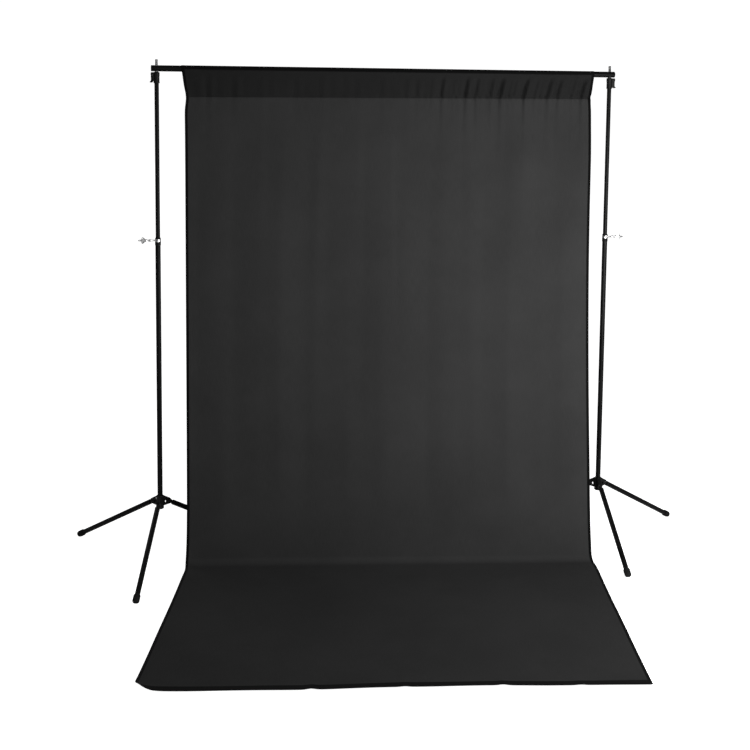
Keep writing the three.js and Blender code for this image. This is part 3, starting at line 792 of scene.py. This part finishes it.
def leg(side, place_name):
    name = f"{side}_{place_name}"
    level = arm_place(side, place_name)
    sloped = level @ Matrix.Rotation(LEG_SLOPE, 4, "Y")
    shaft_start, shaft_end = 20.3 * MM, FOOT_ALONG + 3 * MM
    shaft_place = sloped @ Matrix.Translation((shaft_start, 0, 0)) @ ALONG_X
    length = shaft_end - shaft_start
    shaft = tube(f"{name}_leg_shaft", LEG_RADIUS, LEG_RADIUS - LEG_WALL, length, TUBE_COAT, shaft_place)
    parts = (
        (leg_tongue(name, sloped), "leg_tongue", "moulding_black"),
        (shaft, "leg_tube", "tube_black"),
        (rubber_foot(name, sloped), "foot", "rubber_black"),
    )
    for piece, node, finish in parts:
        stands_for(piece, f"{name}_{node}", f"{name}_leg")
    half = 6.6 * MM
    top = half + 1.6 * MM
    head = [(2.5 * MM, half), (4 * MM, half), (3.7 * MM, half + 0.9 * MM), (2.2 * MM, top), (0, top)]
    profile = [(radius, -height) for radius, height in reversed(head)] + head
    rivet = turned(f"{name}_leg_rivet", profile, RIVET, level @ UPRIGHT, 32, 0.5 * MM)
    stands_for(rivet, f"{name}_leg_pin", f"{side}_lower")


def hidden_parts(side):
    """The bush and the pad keep their CAD shape, because neither shows from outside."""
    for node, material in ((f"{side}_tube_plug", MOULDING), (f"{side}_pressure_pad", RUBBER)):
        mesh = frame["nodes"][node].data
        mesh.materials.clear()
        mesh.materials.append(material)


# ------------ cloth

POCKET_DEPTH = {"left": 100 * MM, "right": 92 * MM}
CLOTH_LIFT = 1.5 * MM
WRAP = BAR_RADIUS + 0.7 * MM
SEAM_GAP = 0.7 * MM
CREASE_RADIUS = 30 * MM
DROP_BEND_SHARE = 0.66
CLOTH_WIDTH, CLOTH_LENGTH = 1.524, 2.743
SIDE_HEM = 10 * MM
FRONT_HEM = 26 * MM
SWEEP_LENGTH = 0.93
SWEEP_EASE = 0.09
PLEAT_PITCH = 45 * MM
SEAM_FADE = 0.07
HEM_STEPS = np.array([0.1, 0.9, 1.0, 1.1])
SWEEP_STEPS = np.unique(np.concatenate([np.linspace(0, 1, 46), 1 - HEM_STEPS * FRONT_HEM / SWEEP_LENGTH]))
COLUMN_STEPS = np.concatenate([np.linspace(0, 0.5, 76), np.linspace(0.5, 1, 136)[1:]])
ROWS = {"back": 8, "over": 20, "front": 28, "drop": 106, "crease": 12, "floor": len(SWEEP_STEPS) - 1}

low_corner, high_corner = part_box("backdrop_cloth")
CREASE_OFF = {"left": 90 * MM, "right": 250 * MM}
TOP_X = {"left": high_corner[0] - CLOTH_WIDTH, "right": high_corner[0]}
CREASE_X = {"left": TOP_X["left"] - 2 * MM, "right": TOP_X["right"] - 44 * MM}
FRONT_X = {"left": low_corner[0], "right": TOP_X["right"] - 185 * MM}
FRONT_Y = {"left": low_corner[1] + 170 * MM, "right": low_corner[1] - 6 * MM}


def edge_stations(side):
    """Points (y, z) down one side edge, from the pocket's sewn edge behind, over the bar, to the front."""
    depth = POCKET_DEPTH[side]
    seam = BAR.z - depth
    tangent = math.atan2(depth, SEAM_GAP) - math.acos(WRAP / math.hypot(SEAM_GAP, depth))
    crease = BAR.y - CREASE_OFF[side]
    bend = CLOTH_LIFT + (seam - CLOTH_LIFT) * DROP_BEND_SHARE
    stitch = BAR.y - SEAM_GAP
    lean = math.atan2(stitch - crease, bend - CLOTH_LIFT)
    turn_y = crease - CREASE_RADIUS * math.tan((math.pi / 2 - lean) / 2)
    turn_z = CLOTH_LIFT + CREASE_RADIUS
    around = np.linspace(-tangent, math.pi + tangent, ROWS["over"] + 1)
    over = np.stack([BAR.y + WRAP * np.cos(around), BAR.z + WRAP * np.sin(around)], 1)
    back = np.linspace((BAR.y + SEAM_GAP, seam), over[0], ROWS["back"] + 1)[:-1]
    front = np.linspace(over[-1], (stitch, seam), ROWS["front"] + 1)[1:]
    turn = np.linspace(-lean, -math.pi / 2, ROWS["crease"] + 1)
    crease_arc = np.stack([turn_y + CREASE_RADIUS * np.cos(turn), turn_z + CREASE_RADIUS * np.sin(turn)], 1)
    t = np.linspace(0, 1, ROWS["drop"] + 1)[1:, None] ** 1.35
    corner = np.array([stitch, bend])
    drop = (1 - t) ** 2 * np.array([stitch, seam]) + 2 * t * (1 - t) * corner + t * t * crease_arc[0]
    ahead = np.array([FRONT_Y[side], CLOTH_LIFT]) - crease_arc[-1]
    floor = crease_arc[-1] + ahead * SWEEP_STEPS[1:, None]
    return np.concatenate([back, over, front, drop, crease_arc[1:], floor])


def edge_x(side, stations):
    """Where the side edge lies along X: it narrows down the drop and turns out along the floor."""
    crease_y = BAR.y - CREASE_OFF[side]
    height = np.clip(stations[:, 1] / BAR.z, 0, 1)
    forward = np.clip((crease_y - stations[:, 0]) / (crease_y - FRONT_Y[side]), 0, 1)
    eased = np.where(forward < SWEEP_EASE, forward**2 / (2 * SWEEP_EASE), forward - SWEEP_EASE / 2)
    eased /= 1 - SWEEP_EASE / 2
    lying = stations[:, 1] <= CLOTH_LIFT + CREASE_RADIUS
    flare = OUTWARD[side] * 7.5 * MM * np.exp(-stations[:, 1] / 0.08) * (1 - forward) ** 3
    hanging = CREASE_X[side] + (TOP_X[side] - CREASE_X[side]) * height
    return flare + np.where(lying, CREASE_X[side] + (FRONT_X[side] - CREASE_X[side]) * eased, hanging)


def ripple(x, waves):
    """A sum of sines, from (wavelength, height, phase)."""
    return sum(height * np.sin(2 * np.pi * x / length + phase) for length, height, phase in waves)


def bump_at(x, middle, half):
    return np.exp(-(((x - middle) / half) ** 2))


def gathers(across, above):
    """Small pleats where the cloth is crowded on the bar: tall in the pocket, fading below the seam."""
    share = across / CLOTH_WIDTH
    right_end = 1 / (1 + np.exp(-(share - 0.63) * 26))
    crowd = 0.16 + 0.84 * right_end + 0.25 * bump_at(share, 0.07, 0.05)
    lean = np.clip(0.6 * (share - 0.5), 0, 0.2) * np.clip(above, 0, None)
    radian = PLEAT_PITCH / (2 * np.pi)
    steep = across - lean + 0.5 * radian * np.sin((across - lean) / radian + 0.4)
    waves = (
        (PLEAT_PITCH, 6.8 * MM, 0.4), (31.7 * MM, 3.8 * MM, 1.9), (77 * MM, 3.4 * MM, 4.4),
        (20.9 * MM, 1.6 * MM, 5.1), (13.3 * MM, 0.4 * MM, 2.2),
    )
    fade_up = 0.2 + 0.8 * np.cos(np.clip(above / POCKET_DEPTH["left"], 0, 1) * np.pi / 2) ** 0.8
    fade_down = np.exp(-np.clip(-above, 0, None) / SEAM_FADE)
    puckers = ripple(across + 0.4 * above, ((23.3 * MM, 3.0 * MM, 0.9), (17.1 * MM, 2.0 * MM, 3.0)))
    puckers = puckers * bump_at(above, 4 * MM, 11 * MM)
    return crowd * (ripple(steep, waves) * np.where(above > 0, fade_up, 0.5 * fade_down) + puckers)


def fold_depth(across, below):
    """How far the hanging cloth stands out, from distances across its width and below the seam."""
    fade_in = 1 - np.exp(-((below / 0.16) ** 2))
    drift = across + 0.025 * np.sin(below * 2.1)
    waves = ((0.66, 4.2 * MM, 0.6), (0.383, 2.8 * MM, 2.1), (0.217, 1.7 * MM, 4.0), (0.121, 0.9 * MM, 1.0))
    fine_waves = ((67 * MM, 0.25 * MM, 0.2), (41 * MM, 0.1 * MM, 3.1))
    broad = ripple(drift, waves) + ripple(across + 0.01 * below, fine_waves)
    ridges = 0
    for share, half, height, length in (
        (0.17, 22 * MM, 2.4 * MM, 1.1),
        (0.325, 17 * MM, 2.6 * MM, 1.0),
        (0.423, 15 * MM, 2.4 * MM, 0.8),
        (0.503, 9 * MM, 2.6 * MM, 0.7),
        (0.69, 20 * MM, 3.6 * MM, 0.9),
        (0.82, 40 * MM, 18 * MM, 1.1),
        (1.0, 56 * MM, 27 * MM, 1.1),
    ):
        middle = share * CLOTH_WIDTH + 0.012 * np.sin(below * 2.7 + share * 9)
        ridge = bump_at(across, middle, half * (1 + 0.8 * below)) * np.exp(-below / length)
        ridges = ridges + height * ridge
    creases = 0
    for share, depth, height in ((0.26, 0.93, 2.2 * MM), (0.55, 1.16, 2.0 * MM), (0.4, 0.5, 1.2 * MM)):
        aside = across - share * CLOTH_WIDTH
        crease = bump_at(below - depth + 0.35 * aside, 0, 16 * MM) * bump_at(aside, 0, 60 * MM)
        creases = creases + height * crease
    return fade_in * (broad + ridges) + creases


def floor_rise(across, forward):
    """The sweep's faint swells, and the small tucks along its front hem."""
    swell = ripple(across + 0.3 * forward, ((0.81, 1.0 * MM, 0.4), (0.34, 0.6 * MM, 1.9)))
    swell = swell + ripple(forward, ((0.47, 0.8 * MM, 1.0),))
    tucks = 0
    for share, height in ((0.34, 3.4 * MM), (0.52, 1.8 * MM), (0.71, 2.6 * MM), (0.86, 1.6 * MM)):
        tucks = tucks + height * bump_at(across, share * CLOTH_WIDTH, 16 * MM)
    near_front = np.clip((forward - 0.72) / 0.22, 0, 1) ** 2
    return np.maximum(swell + 2.2 * MM, 0) * np.clip(forward / 0.1, 0, 1) + tucks * near_front


def round_corner(points, across, from_front, radius=64 * MM):
    """Rounds the cut of the front left corner."""
    aside, ahead = (np.clip(1 - length / radius, 0, 1) for length in (across, from_front))
    points[..., 0] += radius * aside * (1 - np.sqrt(1 - ahead**2 / 2))
    points[..., 1] += radius * ahead * (1 - np.sqrt(1 - aside**2 / 2))


def curl_corner(points, across, from_front, radius=230 * MM, reach=68 * MM):
    """Lifts the front left corner in a soft curl."""
    span = (across + from_front) / math.sqrt(2)
    length = np.clip(reach - span, 0, None)
    angle = length / radius
    diagonal = np.array([-1, -1, 0]) / math.sqrt(2)
    points += (radius * np.sin(angle) - length)[..., None] * diagonal
    points[..., 2] += radius * (1 - np.cos(angle))


def sheet_grid():
    """The sheet's points, and the masks that its material reads."""
    stations = {side: edge_stations(side) for side in SIDES}
    xs = {side: edge_x(side, stations[side]) for side in SIDES}
    hem_steps = HEM_STEPS * SIDE_HEM / CLOTH_WIDTH
    spread = np.unique(np.concatenate([COLUMN_STEPS, hem_steps, 1 - hem_steps]))
    left = np.column_stack([xs["left"], stations["left"]])[:, None, :]
    right = np.column_stack([xs["right"], stations["right"]])[:, None, :]
    points = left + (right - left) * spread[None, :, None]
    along = np.gradient(points, axis=0)
    normal = np.stack([np.zeros_like(along[..., 0]), along[..., 2], -along[..., 1]], -1)
    normal /= np.linalg.norm(normal, axis=-1, keepdims=True)
    zero_grid = np.zeros(points.shape[:2])
    across = spread[None, :] * CLOTH_WIDTH + zero_grid
    row = np.arange(points.shape[0])[:, None] + zero_grid
    back_end, over_end, seam_row, drop_end, crease_end, _ = np.cumsum(list(ROWS.values()))
    depth = POCKET_DEPTH["left"] + (POCKET_DEPTH["right"] - POCKET_DEPTH["left"]) * spread[None, :]
    above = points[..., 2] - (BAR.z - depth)
    hanging, in_front = (row > seam_row) & (row <= drop_end), (row > over_end) & (row <= seam_row)
    behind, lying = row < back_end, row > crease_end
    front_length = np.where(lying, np.abs(points[-1:, :, 1] - points[..., 1]), 9)
    side_hem = np.minimum(across, CLOTH_WIDTH - across) <= SIDE_HEM * 1.01
    hem = (side_hem | (front_length <= FRONT_HEM)).astype(float)
    near_floor = np.clip((points[..., 2] - 0.04) / 0.3, 0, 1)
    push = np.where(hanging, fold_depth(across, -above) * near_floor, 0)
    bar_side = np.clip((depth - BAR_RADIUS - above) / (25 * MM), 0, 1)
    push += np.where(hanging | in_front, gathers(across, above) * bar_side, 0)
    push -= np.where(behind, gathers(across, zero_grid) * np.clip(1 - above / (60 * MM), 0, 1), 0)
    push -= np.where(hanging | in_front, 1.5 * MM * bump_at(above, 0, 3.2 * MM), 0)
    points += normal * (push + 0.35 * MM * hem)[..., None]
    share = np.clip((row - crease_end) / ROWS["floor"], 0, 1)
    points[..., 2] += np.where(lying, floor_rise(across, share), 0)
    front_wave = 8 * MM * np.sin(2 * np.pi * (1.3 * spread - 0.14)) * (1 - spread**6)
    front_wave += 10 * MM * bump_at(spread, 0.05, 0.09)
    points[..., 1] -= share**2 * front_wave[None, :]
    at_left, at_right = bump_at(spread, 0, 0.03)[None, :], bump_at(spread, 1, 0.02)[None, :]
    flare = np.exp(-np.clip(BAR.z - points[..., 2], 0, None) / 0.06)
    points[..., 0] += flare * (at_right * 3 * MM - at_left * 12 * MM)
    pinch = bump_at(above, 0, 34 * MM) * (at_left * 6 * MM - at_right * 3.5 * MM)
    points[..., 0] += np.where(lying, 0, pinch)
    round_corner(points, across, front_length)
    curl_corner(points, across, front_length)
    # the top of the wrap over the bar joins the hem mask, so that the material paints it near black as
    # shade
    wrap_top_shade = (row > back_end - 3) & (above > depth - 0.2 * BAR_RADIUS)
    # the pocket mask, which marks where the material paints shade
    pocket_shade = (row <= seam_row).astype(float)
    # the sweep mask, which marks the part on the floor that the material paints darker as shade
    sweep = np.clip((row - drop_end - 2) / 10, 0, 1)
    steps = np.linalg.norm(np.diff(points[:, len(spread) // 2], axis=0), axis=1)
    down = np.concatenate([[0], np.cumsum(steps)])
    uv = np.stack([across, down[:, None] + zero_grid], -1)
    return points, {"hem": np.maximum(hem, wrap_top_shade), "pocket_shade": pocket_shade, "sweep": sweep}, uv


def sheet_mesh(points, masks, uv):
    rows, columns = points.shape[:2]
    index = np.arange(rows * columns).reshape(rows, columns)
    faces = np.stack([index[:-1, :-1], index[:-1, 1:], index[1:, 1:], index[1:, :-1]], -1).reshape(-1, 4)
    mesh = bpy.data.meshes.new("backdrop_sheet")
    mesh.from_pydata(points.reshape(-1, 3).tolist(), [], faces[:, ::-1].tolist())
    for name, values in masks.items():
        mask = mesh.attributes.new(name, "FLOAT", "POINT")
        mask.data.foreach_set("value", values.reshape(-1).astype(np.float32))
    layer = mesh.uv_layers.new(name="cloth")
    loop_vertex = np.empty(len(mesh.loops), dtype=np.int32)
    mesh.loops.foreach_get("vertex_index", loop_vertex)
    layer.data.foreach_set("uv", uv.reshape(-1, 2)[loop_vertex].reshape(-1).astype(np.float32))
    mesh.update()
    return mesh


def stitch_line(points, normals, start_offset, pitch=4.5 * MM, length=3 * MM, half=0.35 * MM):
    """Raised running stitches along a line of points: the corners and faces of each."""
    steps = np.linalg.norm(np.diff(points, axis=0), axis=1)
    reached = np.concatenate([[0], np.cumsum(steps)])
    starts = np.arange(start_offset, reached[-1] - length, pitch)
    corners, faces = [], []

    def at(distance, source):
        return np.array([np.interp(distance, reached, source[:, k]) for k in range(3)])

    for begin in starts:
        ends = [at(begin, points), at(begin + length, points)]
        out = at(begin + length / 2, normals)
        out /= np.linalg.norm(out)
        along = (ends[1] - ends[0]) / np.linalg.norm(ends[1] - ends[0])
        aside = np.cross(along, out)
        base = len(corners)
        middle = (ends[0] + ends[1]) / 2
        shoulder = [ends[0] * 0.75 + middle * 0.25, ends[1] * 0.75 + middle * 0.25]
        corners.append(ends[0])
        for point in shoulder:
            for x, y in ((-1, 0.2), (0, 1.1), (1, 0.2)):
                corners.append(point + aside * x * half + out * y * half)
        corners.append(ends[1])
        faces += [[base, base + 2, base + 1], [base, base + 3, base + 2]]
        faces += [[base + 1, base + 2, base + 5, base + 4], [base + 2, base + 3, base + 6, base + 5]]
        faces += [[base + 7, base + 4, base + 5], [base + 7, base + 5, base + 6]]
    return corners, faces


def stitching(points):
    """The pocket's seam, and a line of stitches inside each hem."""
    gradient_down = np.gradient(points, axis=0)
    gradient_across = np.gradient(points, axis=1)
    normals = -np.cross(gradient_across, gradient_down)
    normals /= np.linalg.norm(normals, axis=-1, keepdims=True) + 1e-12
    lift = 0.55 * MM
    raised = points - normals * lift
    outwards = -normals
    seam_row, front_row = ROWS["back"] + ROWS["over"] + ROWS["front"], -3
    inset = 6
    lines = [(raised[row], outwards[row]) for row in (seam_row, front_row)]
    for column in (inset, points.shape[1] - 1 - inset):
        lines.append((raised[seam_row:, column], outwards[seam_row:, column]))
    corners, faces = [], []
    for line, out in lines:
        more, sides = stitch_line(line, out, 2 * MM)
        faces += [[i + len(corners) for i in side] for side in sides]
        corners += more
    mesh = bpy.data.meshes.new("backdrop_stitching")
    mesh.from_pydata([tuple(c) for c in corners], [], faces)
    mesh.update()
    return finished("backdrop_stitching", mesh, THREAD, 60)


def backdrop():
    points, masks, uv = sheet_grid()
    sheet = finished("backdrop_sheet", sheet_mesh(points, masks, uv), CLOTH, 180)
    thickness = sheet.modifiers.new("thickness", "SOLIDIFY")
    thickness.thickness = 0.7 * MM
    thickness.offset = 0
    thread = stitching(points)
    for piece in (sheet, thread):
        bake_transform(piece)
    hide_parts("backdrop_cloth")


# ------------ set


def floor():
    mesh = bpy.data.meshes.new("studio_floor")
    reach = 30.0
    corners = [(x * reach, y * reach, 0) for x, y in ((-1, -1), (1, -1), (1, 1), (-1, 1))]
    mesh.from_pydata(corners, [], [(0, 1, 2, 3)])
    piece = bpy.data.objects.new("studio_floor", mesh)
    bpy.context.scene.collection.objects.link(piece)
    material, g, shader = blank("pale_floor")
    place = g.node("TexCoord").outputs["Object"]
    cloud = g.node("TexNoise", {"Vector": place, "Scale": 0.6}).outputs["Fac"]
    g.feed(shader, {
        "Base Color": g.mix(cloud, grey(0.88), grey(0.92)),
        "Roughness": 0.9,
        "Emission Color": grey(1.0),
        "Emission Strength": g.node("LightPath").outputs["Is Camera Ray"],
    })
    mesh.materials.append(material)


def area_light(name, at, target, size, watts):
    light = bpy.data.lights.new(name, "AREA")
    light.shape = "RECTANGLE"
    light.size, light.size_y = size
    light.energy = watts
    lamp = bpy.data.objects.new(name, light)
    lamp.location = at
    lamp.rotation_euler = (Vector(target) - Vector(at)).to_track_quat("-Z", "Y").to_euler()
    bpy.context.scene.collection.objects.link(lamp)


def studio():
    floor()
    world = bpy.data.worlds.new("white_studio")
    bpy.context.scene.world = world
    world.use_nodes = True
    g = Graph(world.node_tree)
    seen = g.node("LightPath").outputs["Is Camera Ray"]
    strength = g.node("MapRange", {"Value": seen, "To Min": 0.13, "To Max": 1.05}).outputs["Result"]
    g.feed(world.node_tree.nodes["Background"], {"Color": grey(1.0), "Strength": strength})
    for name, at, target, size, watts in (
        ("key_softbox", (1.0, -1.15, 1.22), (0.3, 0.35, 0.95), (0.8, 0.9), 39),
        ("fill_softbox", (-1.9, -3.2, 1.6), (-0.4, 0.3, 0.8), (1.2, 1.6), 9),
        ("top_softbox", (-0.4, -0.9, 3.2), (-0.3, -0.3, 0.0), (2.4, 1.6), 4),
        ("back_softbox", (-2.3, 2.6, 2.2), (-0.2, 0.5, 0.9), (1.2, 1.2), 12),
    ):
        area_light(name, at, target, size, watts)
    bpy.context.scene.view_settings.view_transform = "Standard"


def camera():
    """A view from the left of centre, tilted slightly down."""
    yaw, tilt, roll = 0.1595, 0.1001, 0.0096
    forward = Vector((math.sin(yaw) * math.cos(tilt), math.cos(yaw) * math.cos(tilt), -math.sin(tilt)))
    level = Vector((math.cos(yaw), -math.sin(yaw), 0))
    up = level.cross(forward)
    right = level * math.cos(roll) + up * math.sin(roll)
    top = up * math.cos(roll) - level * math.sin(roll)
    lens = bpy.data.cameras.new("studio_camera")
    lens.sensor_width = 36
    lens.lens = 57.6
    lens.shift_y = -0.2
    lens.clip_end = 100
    view = bpy.data.objects.new("studio_camera", lens)
    from_bar = Vector((-0.7553, -4.3849, 1.683))
    turn = Matrix((right, top, -forward)).transposed().to_4x4()
    view.matrix_world = Matrix.Translation(Vector((BAR.x, BAR.y, 0)) + from_bar) @ turn
    bpy.context.scene.collection.objects.link(view)
    bpy.context.scene.camera = view


camera()
crossbar_tubes()
bar_plugs()
for side in SIDES:
    stand_tubes(side)
    spigot(side)
    top_socket(side)
    flip_lever(side)
    clamp(side)
    wing_screw(side)
    hub(side)
    hub_screw(side)
    for place in PLACES:
        leg(side, place)
    hidden_parts(side)
backdrop()
studio()
